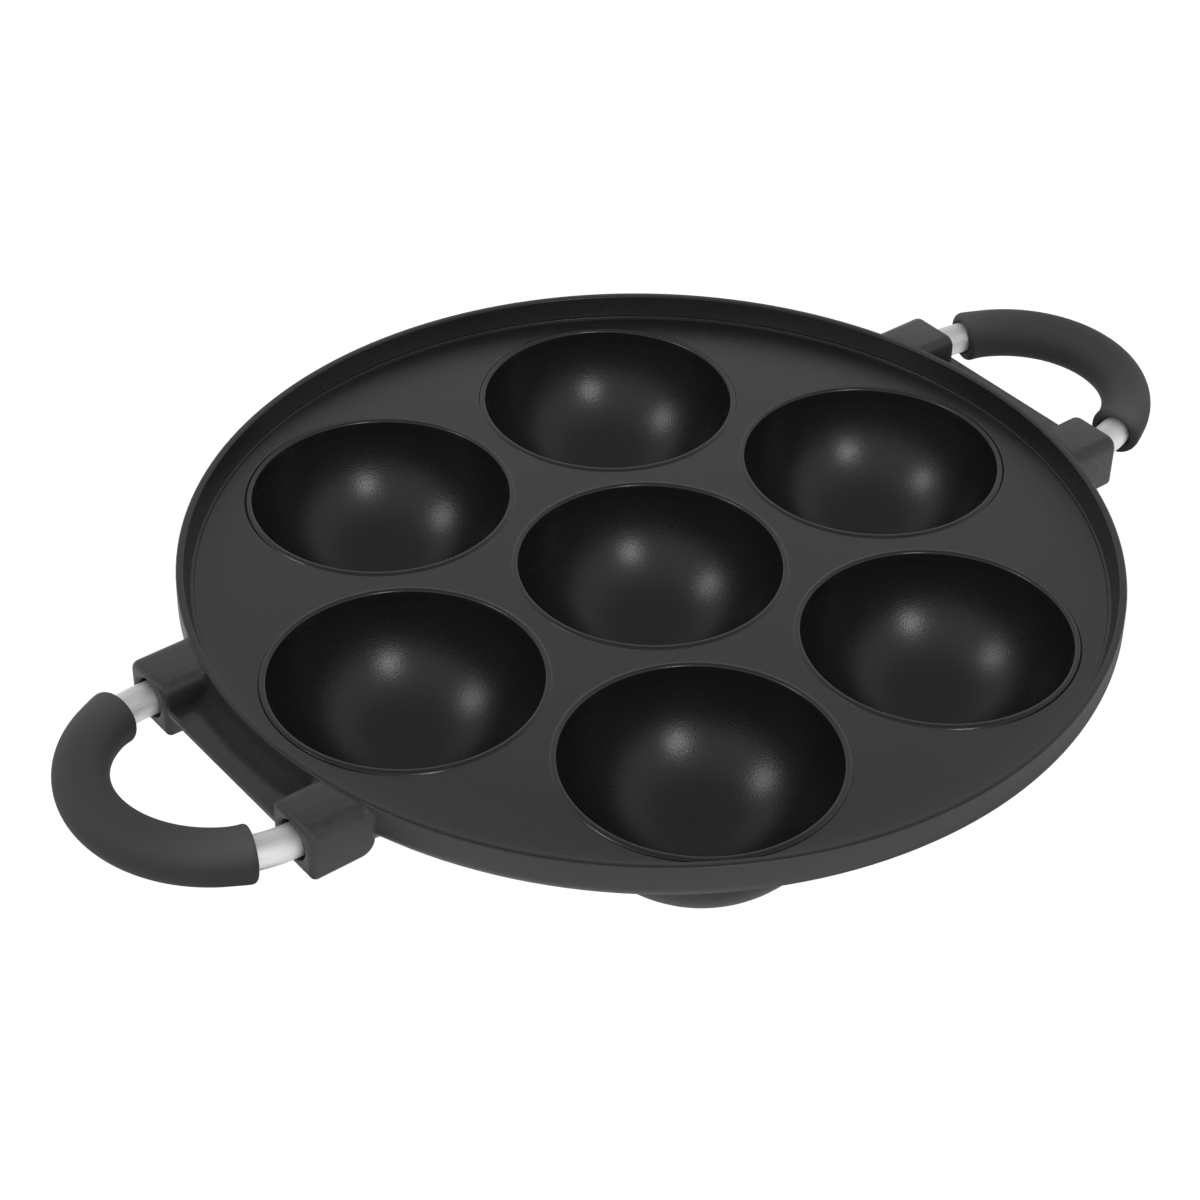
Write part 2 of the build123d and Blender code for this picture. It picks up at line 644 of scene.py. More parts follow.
class Surface(Graph):
    """A material with one principled shader."""

    def __init__(self, name: str) -> None:
        """Starts a material with its shader and output.

        Args:
            name: the material's name.
        """
        self.material = bpy.data.materials.new(name)
        self.material.use_nodes = True
        super().__init__(self.material.node_tree)
        self.shader = self.tree.nodes["Principled BSDF"]

    def place(self, origin: Vector = Vector(), turn: float = 0.0) -> Socket:
        """The point on the surface, in millimetres.

        Args:
            origin: where the coordinates start, in the pan's own frame.
            turn: the tilt of their X axis upwards about Y, in degrees.

        Returns:
            The coordinates.
        """
        coordinates = self.node("ShaderNodeTexCoord", {}, {}).outputs["Object"]
        if turn or origin.length:
            tilt = (0.0, -math.radians(turn), 0.0)
            sockets = {"Vector": coordinates, "Location": origin * MM, "Rotation": tilt}
            coordinates = self.node("ShaderNodeMapping", {"vector_type": "TEXTURE"}, sockets).outputs[0]
        scale = {0: coordinates, 1: (1 / MM,) * 3}
        return self.node("ShaderNodeVectorMath", {"operation": "MULTIPLY"}, scale).outputs[0]

    def bump(self, height: Signal, depth: float, under: Socket | None = None) -> Socket:
        """A relief on the surface.

        Args:
            height: its height from 0 to 1.
            depth: the height in millimetres that 1 stands for.
            under: the normal of a relief that this one lies on.

        Returns:
            The normal.
        """
        sockets = {"Height": height, "Distance": depth * MM, "Strength": 1.0}
        if under is not None:
            sockets["Normal"] = under
        return self.node("ShaderNodeBump", {}, sockets).outputs[0]

    def set(self, **values: object) -> None:
        """Sets or links the shader's own inputs, whose names have _ for a space."""
        for name, value in values.items():
            self.plug(self.shader.inputs[name.replace("_", " ")], value)


@dataclass(frozen=True)
class NonstickCoat:
    """Black sprayed non-stick coat: fine where it was turned, coarser and greyer on the raw cast.

    Radii are from the pan's axis, or from a cup's middle where they are the lip's. A blur is how
    wide a zone's edge is.
    """

    dark: Colour = (0.0075, 0.0075, 0.0078)
    light: Colour = (0.0345, 0.0345, 0.0350)
    fine_tint: float = 0.19
    outside_tint: float = 0.72
    boss_tint: float = 0.80
    lit_web_tint: float = 0.46
    cloud: Grain = Grain(26.0, 3.0)
    cloud_share: float = 0.7
    cloud_roughness: float = 0.08
    speck: Grain = Grain(0.5, 2.0, 0.6)
    speck_roughness: float = 0.10
    speck_depth: float = 0.036
    calm: float = 0.40
    cast: Grain = Grain(1.6, 3.0, 0.55)
    cast_mottle: float = 1.2
    boss_mottle: float = 0.5
    cast_roughness: float = 0.30
    cast_depth: float = 0.060
    cast_radius: float = 112.9
    cast_blur: float = 0.8
    inside_roughness: float = 0.28
    outside_roughness: float = 0.48
    lip_roughness: float = 0.20
    lip_inside: float = 31.9
    lip_outside: float = 34.5
    cup_blur: float = 0.6
    edge_blur: float = 0.3
    boss_radius: float = 114.5
    top_level: float = 39.8
    web_half_length: float = 22.5
    web_end_blur: float = 1.0
    web_level: float = 33.8
    web_film: float = 0.8
    web_blur: float = 0.4
    recess_roughness: float = 0.80
    recess_start: float = 113.6
    recess_end: float = 118.4
    recess_blur: float = 2.4
    ior: float = 1.5

    def from_cup(self, x: Signal, y: Signal, reach: Signal) -> Signal:
        """How far a point is from the middle of the nearest cup, in millimetres.

        Args:
            x: the point's X.
            y: its Y.
            reach: its distance from the pan's axis.

        Returns:
            The distance.
        """
        spoke = math.pi / 3
        turn = y.through("ARCTAN2", x)
        beside = turn - (turn * (1 / spoke)).through("ROUND") * spoke
        pitch = CUP_PITCH_RADIUS
        outer = (reach * reach + pitch**2 - 2 * pitch * reach * beside.through("COSINE")) ** 0.5
        return outer.through("MINIMUM", reach)

    def zones(self, y: Signal, z: Signal, reach: Signal) -> tuple[Signal, Signal, Signal]:
        """Where the coat lies otherwise than inside the pan.

        Args:
            y: the point's Y.
            z: its height.
            reach: its distance from the pan's axis.

        Returns:
            The raw cast outside, the open part of a web, and the hollow between two bosses, which is
            left darker than the open web as painted shade.
        """
        below = 1 - z.over(self.top_level, self.edge_blur)
        between = 1 - y.through("ABSOLUTE").over(self.web_half_length, self.web_end_blur)
        on_web = between * z.over(self.web_level, self.web_blur)
        above_web = z.over(self.web_level + self.web_film, self.web_blur)
        near_wall = 1 - reach.over(self.recess_end, self.recess_blur)
        sunk = above_web.through("MAXIMUM", near_wall)
        outside = reach.over(self.cast_radius, self.cast_blur) * below * (1 - on_web)
        web = reach.over(self.recess_start, self.edge_blur) * below * on_web
        return outside, web * (1 - sunk), web * sunk

    def build(self) -> Material:
        """Builds the material.

        Returns:
            The material.
        """
        surface = Surface("nonstick_coat")
        place = surface.place()
        x, y, z = surface.axes(place)
        reach = (x * x + y * y) ** 0.5
        from_cup = self.from_cup(x, y, reach)
        cloud = surface.noise(place, self.cloud)
        speck = surface.noise(place, self.speck)
        cast = surface.noise(place, self.cast)
        outside = reach.over(self.cast_radius, self.cast_blur)
        raw, web, hollow = self.zones(y, z, reach)
        boss_top = reach.over(self.boss_radius, self.edge_blur) * z.over(self.top_level, self.edge_blur)
        in_cup = 1 - from_cup.over(self.lip_inside, self.cup_blur)
        before_lip = from_cup.over(self.lip_inside, self.edge_blur)
        lip = before_lip * (1 - from_cup.over(self.lip_outside, self.edge_blur))
        relief = surface.bump(cast * outside, self.cast_depth)
        speck_height = speck * (self.calm + (1 - self.calm) * in_cup)
        relief = surface.bump(speck_height, self.speck_depth, relief)
        rough = self.inside_roughness + lip * (self.lip_roughness - self.inside_roughness)
        rough = rough + raw * (self.outside_roughness - self.inside_roughness)
        rough = rough + hollow * (self.recess_roughness - self.inside_roughness)
        rough = rough + (cloud - 0.5) * self.cloud_roughness + (speck - 0.5) * self.speck_roughness
        fine = cloud * self.cloud_share + speck * (1 - self.cloud_share)
        grey = fine * self.fine_tint + raw * self.outside_tint
        # Painted shade: the open web gets a lighter tint, and the hollow between the bosses keeps the
        # dark tone, as shade in the recess.
        grey = grey + boss_top * self.boss_tint + web * self.lit_web_tint
        grey = grey + (cast - 0.5) * (raw + boss_top * self.boss_mottle) * self.cast_mottle
        surface.set(
            Base_Color=surface.tint(grey, self.dark, self.light),
            Roughness=rough + (cast - 0.5) * outside * self.cast_roughness,
            Normal=relief,
            IOR=self.ior,
        )
        return surface.material


@dataclass(frozen=True)
class BrushedSteel:
    """Round stainless bar, brushed along its length before it was bent."""

    low: Colour = (0.66, 0.66, 0.665)
    high: Colour = (0.96, 0.96, 0.965)
    streak: Grain = Grain(1.0, 4.0, 0.65)
    streak_width: float = 0.42
    streak_length: float = 16.0
    streak_slant: float = 0.6
    streak_depth: float = 0.006
    bend_blur: float = 1.0
    roughness: float = 0.50
    roughness_span: float = 0.14

    def build(self, hand: Hand, frame: HandleFrame) -> Material:
        """Builds the material for one rod, whose streaks follow its bend.

        Args:
            hand: the side that the rod is on.
            frame: the place of the handle.

        Returns:
            The material.
        """
        surface = Surface(f"brushed_steel_{hand.title}")
        pivot = frame.place(hand) @ Vector((frame.bend_offset * MM, 0, 0)) / MM
        place = surface.place(pivot, frame.rise * hand.value)
        x, y, z = surface.axes(place)
        out = x * float(hand.value)
        bent = out.over(0.0, self.bend_blur)
        across = bent * ((out * out + y * y) ** 0.5) + (1 - bent) * ((y * y) ** 0.5)
        fine = 1 / self.streak_width
        along = (out + y * self.streak_slant) * (1 / self.streak_length)
        sockets = {0: across * fine, 1: z * fine, 2: along}
        lines = surface.node("ShaderNodeCombineXYZ", {}, sockets).outputs[0]
        streak = surface.noise(lines, self.streak)
        surface.set(
            Base_Color=surface.tint(streak, self.low, self.high),
            Metallic=1.0,
            Roughness=self.roughness + streak * self.roughness_span,
            Normal=surface.bump(streak, self.streak_depth),
        )
        return surface.material


@dataclass(frozen=True)
class SoftSilicone:
    """Matte dark silicone with a fine moulded grain, and painted light: its colour is lighter on top
    and towards the sleeve's ends.
    """

    dark: Colour = (0.026, 0.026, 0.0264)
    light: Colour = (0.085, 0.085, 0.0860)
    cloud: Grain = Grain(12.0, 3.0)
    cloud_tint: float = 0.15
    cloud_roughness: float = 0.10
    grain: Grain = Grain(0.35, 2.0, 0.6)
    grain_roughness: float = 0.12
    grain_depth: float = 0.010
    roughness: float = 0.75
    half_width: float = 28.0
    painted_light_level: float = 37.5
    painted_light_blur: float = 6.0
    painted_light_top: float = 0.22
    painted_light_end: float = 0.60
    painted_light_rise: float = 3.5
    ior: float = 1.45

    def build(self) -> Material:
        """Builds the material.

        Returns:
            The material.
        """
        surface = Surface("soft_silicone")
        place = surface.place()
        _, y, z = surface.axes(place)
        cloud = surface.noise(place, self.cloud)
        grain = surface.noise(place, self.grain)
        # Painted light: the colour is lighter on the sleeve's top and towards its ends, where more
        # light falls.
        painted_end_light = (y.through("ABSOLUTE") * (1 / self.half_width)) ** self.painted_light_rise
        pale = z.over(self.painted_light_level, self.painted_light_blur) * (self.painted_light_top + self.painted_light_end * painted_end_light)
        rough = self.roughness + (cloud - 0.5) * self.cloud_roughness
        surface.set(
            Base_Color=surface.tint(pale + cloud * self.cloud_tint, self.dark, self.light),
            Roughness=rough + (grain - 0.5) * self.grain_roughness,
            Normal=surface.bump(grain, self.grain_depth),
            IOR=self.ior,
        )
        return surface.material


@dataclass(frozen=True)
class ScrewSteel:
    """Plain stainless screw, turned and a little dull."""

    low: Colour = (0.42, 0.42, 0.41)
    high: Colour = (0.56, 0.56, 0.55)
    cloud: Grain = Grain(1.2, 3.0)
    scratch: Grain = Grain(0.25)
    scratch_depth: float = 0.006
    roughness: float = 0.28
    roughness_span: float = 0.15

    def build(self) -> Material:
        """Builds the material.

        Returns:
            The material.
        """
        surface = Surface("screw_steel")
        place = surface.place()
        cloud = surface.noise(place, self.cloud)
        surface.set(
            Base_Color=surface.tint(cloud, self.low, self.high),
            Metallic=1.0,
            Roughness=self.roughness + cloud * self.roughness_span,
            Normal=surface.bump(surface.noise(place, self.scratch), self.scratch_depth),
        )
        return surface.material


# -------------------------------------------------------------------------- places


def half_turn() -> Matrix:
    """The move from the right hand to the left: half a turn about the pan's axis."""
    return Matrix.Rotation(math.pi, 4, "Z")


@dataclass(frozen=True)
class HandleFrame:
    """Where a handle sits: its origin between the two boss faces, tilted up a little outwards.

    The screw seat is where a screw's head rests in its boss, along the screw from the rod's axis.
    """

    face_x: float = 123.1
    axis_height: float = 32.9
    rise: float = 2.6
    span: float = 59.5
    bend_offset: float = 0.3
    screw_inset: float = 6.0
    screw_seat: float = -6.7

    def place(self, hand: Hand) -> Matrix:
        """The move from a flat drawing of the handle to its place.

        Args:
            hand: the side that the handle is on.

        Returns:
            The move, in metres.
        """
        origin = Matrix.Translation(Vector((self.face_x, 0, self.axis_height)) * MM)
        right = origin @ Matrix.Rotation(-math.radians(self.rise), 4, "Y")
        return half_turn() @ right if hand is Hand.LEFT else right

    def rod_end(self, side: int) -> Matrix:
        """The place of one rod end on the right, at the boss's face, with Z along the rod outwards."""
        across = Matrix.Translation((0, side * self.span / 2 * MM, 0))
        return self.place(Hand.RIGHT) @ across @ Matrix.Rotation(math.pi / 2, 4, "Y")

    def screw(self, side: int) -> Matrix:
        """The place of one screw on the right, on the rod's axis, with Z square to the rod."""
        inside = Vector((-self.screw_inset, side * self.span / 2, 0))
        return self.place(Hand.RIGHT) @ Matrix.Translation(inside * MM)


# ------------------------------------------------------------------------- casting


@dataclass
class Casting:
    """The coated aluminium casting: floor, rim, cups, bosses and webs.

    A foot point is how far past the pad's radius a bend of the cup's foot is, and how high. A
    reach is how far a cutting shape goes past what it cuts, and a root is how far an added shape
    goes into what it sits on.
    """

    material: Material
    frame: HandleFrame
    round_steps: int = 180
    cup_steps: int = 96
    rim_height: float = 40.0
    lip_height: float = 34.1
    pan_radius: float = 114.1
    wall_foot_radius: float = 114.18
    wall_foot_round: float = 4.0
    rim_outer_round: float = 0.5
    rim_inner_radius: float = 112.2
    rim_inner_round: float = 0.4
    plate_underside: float = 30.0
    floor_level: float = 33.70
    floor_flat_radius: float = 78.0
    floor_low: float = 33.45
    floor_low_radius: float = 102.0
    gutter_radius: float = 106.4
    gutter_toe_radius: float = 110.1
    gutter_toe_level: float = 34.0
    ledge_inner_radius: float = 110.25
    ledge_outer_radius: float = 111.0
    ledge_level: float = 34.75
    ledge_round: float = 0.25
    tray_reach: float = 5.0
    cup_radius: float = 32.1
    cup_outer_radius: float = 34.25
    cup_outer_centre: float = 34.8
    lip_inner_round: float = 0.75
    lip_inner_start: float = 165.0
    lip_outer_round: float = 1.15
    belly_overlap: float = 2.0
    pad_radius: float = 10.0
    pad_round: float = 0.8
    foot_width: float = 3.2
    foot_waist: Point = (1.3, 2.4)
    foot_heel: Point = (0.5, 1.0)
    well_radius: float = 33.0
    well_reach: float = 2.0
    boss_root_x: float = 106.3
    boss_width: float = 15.6
    boss_height: float = 14.0
    boss_round: float = 3.2
    boss_foot_round: float = 1.2
    boss_root_round: float = 4.0
    boss_face_round: float = 1.6
    outer_cheek: float = 1.7
    inner_cheek: float = 1.8
    cheek_root: float = 3.0
    cheek_toe_root: float = 0.1
    cheek_steps: int = 5
    cheek_turn: float = 15.0
    web_face_x: float = 122.5
    web_thickness: float = 2.4
    web_cove: float = 4.2
    web_cove_end: float = -176.0
    web_edge_round: float = 0.7
    web_root: float = 4.0
    web_length: float = 20.0
    web_half_angle: float = 17.0
    web_steps: int = 24
    seat_radius: float = 4.1
    seat_depth: float = 11.5
    seat_reach: float = 2.0
    seat_steps: int = 48
    mouth_radius: float = 4.75
    mouth_depth: float = 3.5
    mouth_round: float = 0.8
    screw_hole_radius: float = 1.65
    screw_hole_end: float = -12.0
    screw_hole_steps: int = 32
    spot_face_radius: float = 3.3

    def blank(self) -> Piece:
        """The plate and its wall, with a rounded foot and rim.

        Returns:
            The round blank that the rest is cut from and added to.
        """
        foot, low = self.wall_foot_round, self.plate_underside
        edge, high = self.rim_outer_round, self.rim_height
        outline = Outline().line((0.0, low))
        outline.arc((self.wall_foot_radius - foot, low + foot), foot, -90, 0, steps=8)
        outline.arc((self.pan_radius - edge, high - edge), edge, 0, 90, steps=5)
        outline.line((0.0, high))
        return Bench.turn("coated_casting", outline, self.round_steps)

    def hollow(self) -> Piece:
        """What is turned away above the floor: floor, gutter, small step and inner wall.

        Returns:
            The hollow as a solid, to be taken away.
        """
        level, low = self.floor_level, self.floor_low
        inner, outer = self.floor_flat_radius, self.floor_low_radius
        slope = (outer - inner) / 4
        outline = Outline().line((0.0, level), (inner, level))
        outline.soft((inner + slope, level), ((inner + outer) / 2, (level + low) / 2), steps=6)
        outline.soft((outer - slope, low), (outer, low), steps=6)
        toe = (self.gutter_toe_radius, self.gutter_toe_level)
        outline.soft((self.gutter_radius, low), toe, steps=10)
        lip, ledge = self.ledge_round, self.ledge_level
        outline.arc((self.ledge_inner_radius + lip, ledge - lip), lip, 180, 90, steps=4)
        outline.line((self.ledge_outer_radius, ledge))
        edge, high = self.rim_inner_round, self.rim_height
        above = high + self.tray_reach
        outline.arc((self.rim_inner_radius + edge, high - edge), edge, 180, 90, steps=5)
        outline.line((self.rim_inner_radius + edge, above), (0.0, above))
        return Bench.turn("tray_hollow", outline, self.round_steps)

    def cup_places(self) -> list[Matrix]:
        """Where the seven cups stand.

        Returns:
            The moves there from the pan's axis, in metres, with the middle cup's first.
        """
        reach = Matrix.Translation((CUP_PITCH_RADIUS * MM, 0, 0))
        spokes = [Matrix.Rotation(math.radians(60 * i), 4, "Z") @ reach for i in range(6)]
        return [Matrix.Identity(4)] + spokes

    def cup(self) -> Piece:
        """One cup: half-sphere inside, rounded lip, round belly and flat pad.

        Returns:
            The cup, on the pan's axis.
        """
        lip, belly, pad = self.lip_height, self.cup_outer_radius, self.pad_radius
        inner, outer = self.lip_inner_round, self.lip_outer_round
        flank = math.sqrt(belly**2 - (self.cup_outer_centre - lip + outer) ** 2)
        start = -math.degrees(math.acos(flank / belly)) - self.belly_overlap
        end = -math.degrees(math.acos((pad + self.foot_width) / belly))
        brim = -math.degrees(inner / self.cup_radius)
        outline = Outline().arc((0.0, lip), self.cup_radius, -90, brim, steps=28)
        outline.arc((self.cup_radius + inner, lip - inner), inner, self.lip_inner_start, 90, steps=5)
        outline.arc((flank - outer, lip - outer), outer, 90, 0, steps=7)
        outline.arc((0.0, self.cup_outer_centre), belly, start, end, steps=18)
        waist, heel = ((pad + out, up) for out, up in (self.foot_waist, self.foot_heel))
        outline.soft(waist, heel, steps=4)
        outline.soft((pad, 0.0), (pad - self.pad_round, 0.0), steps=4)
        outline.line((0.0, 0.0))
        return Bench.turn("cup", outline, self.cup_steps)

    def well(self) -> Piece:
        """The round opening in the plate that a cup fills.

        Returns:
            The opening as a solid, to be taken away.
        """
        low, high = self.plate_underside - self.well_reach, self.lip_height + self.well_reach
        radius = self.well_radius
        outline = Outline().line((0.0, low), (radius, low), (radius, high), (0.0, high))
        return Bench.turn("well", outline, self.cup_steps)

    def boss(self, side: int) -> Piece:
        """One block that takes a rod end.

        Args:
            side: the sign of its Y on the right hand.

        Returns:
            The block, with rounded edges.
        """
        middle = side * self.frame.span / 2
        flank = self.boss_width / 2
        low = self.frame.axis_height - self.boss_height / 2
        high = low + self.boss_height
        face, root, bend = self.frame.face_x, self.boss_root_x, self.boss_root_round
        outline = Outline().line((face, low), (face, high), (root, high))
        outline.arc((root + bend, low + bend), bend, 180, 270, steps=8)
        block = Bench.fill("boss", [Vector((x, middle - flank, z)) for x, z in outline.points])
        Bench.pull(Vector((0, self.boss_width * MM, 0)))
        Bench.heal(block)

        def over(at: Vector, way: Vector) -> bool:
            """Whether an edge runs outwards along the top."""
            return abs(way.x) > ALONG and at.z > high - HAIR

        def under(at: Vector, way: Vector) -> bool:
            """Whether an edge is one of the low ones at a side."""
            low_down = at.z < high - self.boss_round - HAIR and at.x < face - HAIR
            return low_down and abs(way.y) < ACROSS and abs(at.y - middle) > flank - HAIR

        def front(at: Vector, way: Vector) -> bool:
            """Whether an edge goes round the face."""
            return at.x > face - HAIR and abs(way.x) < ACROSS

        Bench.bevel(block, over, self.boss_round, steps=7)
        Bench.bevel(block, under, self.boss_foot_round, steps=4)
        Bench.bevel(block, front, self.boss_face_round, steps=5)
        return block

    def cheek(self, side: int, outward: int, radius: float) -> Piece:
        """The hollow corner where a boss's side runs into the wall.

        Args:
            side: the sign of the boss's Y on the right hand.
            outward: 1 for the side away from the other boss, and -1 for the side towards it.
            radius: the radius of the hollow corner.

        Returns:
            The sliver that fills the corner.
        """
        away = side * outward
        flank = side * self.frame.span / 2 + away * self.boss_width / 2
        wall = math.sqrt(self.wall_foot_radius**2 - flank**2)
        top = self.rim_height - self.rim_outer_round
        root, tip = wall - self.cheek_root, flank + away * radius
        toe = wall - flank * away / wall * radius - self.cheek_toe_root
        outline = Outline().line((wall + radius, flank))
        outline.soft((wall, flank), (toe, tip), steps=6)
        outline.line((root, tip), (root, flank - away), (wall + radius, flank - away))
        last = Vector((0, -away * self.boss_inset(top), top))
        piece = Bench.fill("cheek", [Vector((x, y, 0)) + last for x, y in outline.points])
        for level in self.cheek_levels(top):
            here = Vector((-self.foot_inset(level), -away * self.boss_inset(level), level))
            Bench.pull((here - last) * MM)
            last = here
        return Bench.heal(piece)

    def cheek_levels(self, top: float) -> list[float]:
        """The heights at which a cheek changes its section.

        Args:
            top: the height at which it starts.

        Returns:
            The heights, from the top down.
        """
        brow = self.frame.axis_height + self.boss_height / 2 - self.boss_round
        foot = self.plate_underside + self.wall_foot_round
        steps = self.cheek_steps
        levels = [top - (top - brow) * i / steps for i in range(1, steps + 1)]
        for i in range(steps + 1):
            levels.append(foot - self.wall_foot_round * math.sin(math.radians(i * self.cheek_turn)))
        return levels

    def boss_inset(self, level: float) -> float:
        """How far a boss's rounded upper corner has drawn in at a height."""
        up = level - (self.frame.axis_height + self.boss_height / 2 - self.boss_round)
        return self.boss_round - math.sqrt(self.boss_round**2 - max(up, 0.0) ** 2)

    def foot_inset(self, level: float) -> float:
        """How far the wall's rounded foot has drawn in at a height."""
        down = self.plate_underside + self.wall_foot_round - level
        return self.wall_foot_round - math.sqrt(self.wall_foot_round**2 - max(down, 0.0) ** 2)

    def web(self) -> Piece:
        """The thin plate between two bosses, with the hollow corner along the wall.

        Returns:
            The web, as a ring's stretch cut off straight in front and inside both bosses.
        """
        top, cove = self.lip_height, self.web_cove
        inside = self.pan_radius - self.web_root
        outside, low = inside + self.web_length, top - self.web_thickness
        outline = Outline().line((inside, low), (outside, low), (outside, top))
        outline.arc((self.pan_radius + cove, top + cove), cove, -90, self.web_cove_end, steps=8)
        outline.line((inside, top + cove))
        start = math.radians(-self.web_half_angle)
        places = [Vector((r * math.cos(start), r * math.sin(start), z)) for r, z in outline.points]
        piece = Bench.fill("web", places)
        Bench.spin(2 * self.web_half_angle, self.web_steps)
        Bench.heal(piece)
        cuts = [(Vector((self.web_face_x, 0, 0)), Vector((1, 0, 0)))]
        cuts += [(Vector((0, end * self.frame.span / 2, 0)), Vector((0, end, 0))) for end in ENDS]
        for point, way in cuts:
            Bench.edit(piece)
            bpy.ops.mesh.bisect(plane_co=point * MM, plane_no=way, use_fill=True, clear_outer=True)
        Bench.heal(piece)

        def front(at: Vector, way: Vector) -> bool:
            """Whether an edge runs across the web's front."""
            return at.x > self.web_face_x - HAIR and abs(way.y) > ALONG

        Bench.bevel(piece, front, self.web_edge_round, steps=4)
        return piece

    def seat(self, side: int) -> Piece:
        """The stepped bore for a rod end, with a rounded mouth.

        Args:
            side: the sign of the rod end's Y on the right hand.

        Returns:
            The bore as a solid, to be taken away.
        """
        flare, depth = self.mouth_round, self.mouth_depth
        outline = Outline().line((0.0, -self.seat_depth), (self.seat_radius, -self.seat_depth))
        outline.line((self.seat_radius, -depth), (self.mouth_radius, -depth))
        outline.arc((self.mouth_radius + flare, -flare), flare, 180, 90, steps=4)
        outline.line((self.mouth_radius + flare, self.seat_reach), (0.0, self.seat_reach))
        return Bench.move(Bench.turn("seat", outline, self.seat_steps), self.frame.rod_end(side))

    def screw_hole(self, side: int) -> Piece:
        """The screw's hole from below, with the shallow flat that its head sits on.

        Args:
            side: the sign of the screw's Y on the right hand.

        Returns:
            The hole as a solid, to be taken away.
        """
        hole, face = self.screw_hole_radius, self.spot_face_radius
        seat, end = self.frame.screw_seat, self.screw_hole_end
        outline = Outline().line((0.0, 0.0), (hole, 0.0), (hole, seat))
        outline.line((face, seat), (face, end), (0.0, end))
        piece = Bench.turn("screw_hole", outline, self.screw_hole_steps)
        return Bench.move(piece, self.frame.screw(side))

    def both_hands(self, shapes: list[Piece]) -> Piece:
        """Shapes of the right hand and their twins on the left, as one piece."""
        return Bench.join(shapes + [Bench.copy(shape, shape.name, half_turn()) for shape in shapes])

    def in_every_cup(self, shape: Piece) -> Piece:
        """A shape drawn on the pan's axis, copied to all seven cups as one piece."""
        copies = [Bench.copy(shape, shape.name, place) for place in self.cup_places()[1:]]
        return Bench.join([shape] + copies)

    def build(self) -> None:
        """Models the casting in the order of its forms, and dresses it."""
        body = self.blank()
        Bench.combine(body, self.both_hands([self.web()]), Cut.ADD)
        Bench.combine(body, self.both_hands([self.boss(side) for side in ENDS]), Cut.ADD)
        for outward, radius in ((1, self.outer_cheek), (-1, self.inner_cheek)):
            cheeks = [self.cheek(side, outward, radius) for side in ENDS]
            Bench.combine(body, self.both_hands(cheeks), Cut.ADD)
        Bench.combine(body, self.hollow(), Cut.TAKE)
        Bench.combine(body, self.in_every_cup(self.well()), Cut.TAKE)
        Bench.combine(body, self.in_every_cup(self.cup()), Cut.ADD)
        Bench.combine(body, self.both_hands([self.seat(side) for side in ENDS]), Cut.TAKE)
        Bench.combine(body, self.both_hands([self.screw_hole(side) for side in ENDS]), Cut.TAKE)
        Bench.finish(body, "pan_casting", "coated_casting", self.material, "cast pan under its coat")


# ------------------------------------------------------------------------- handles


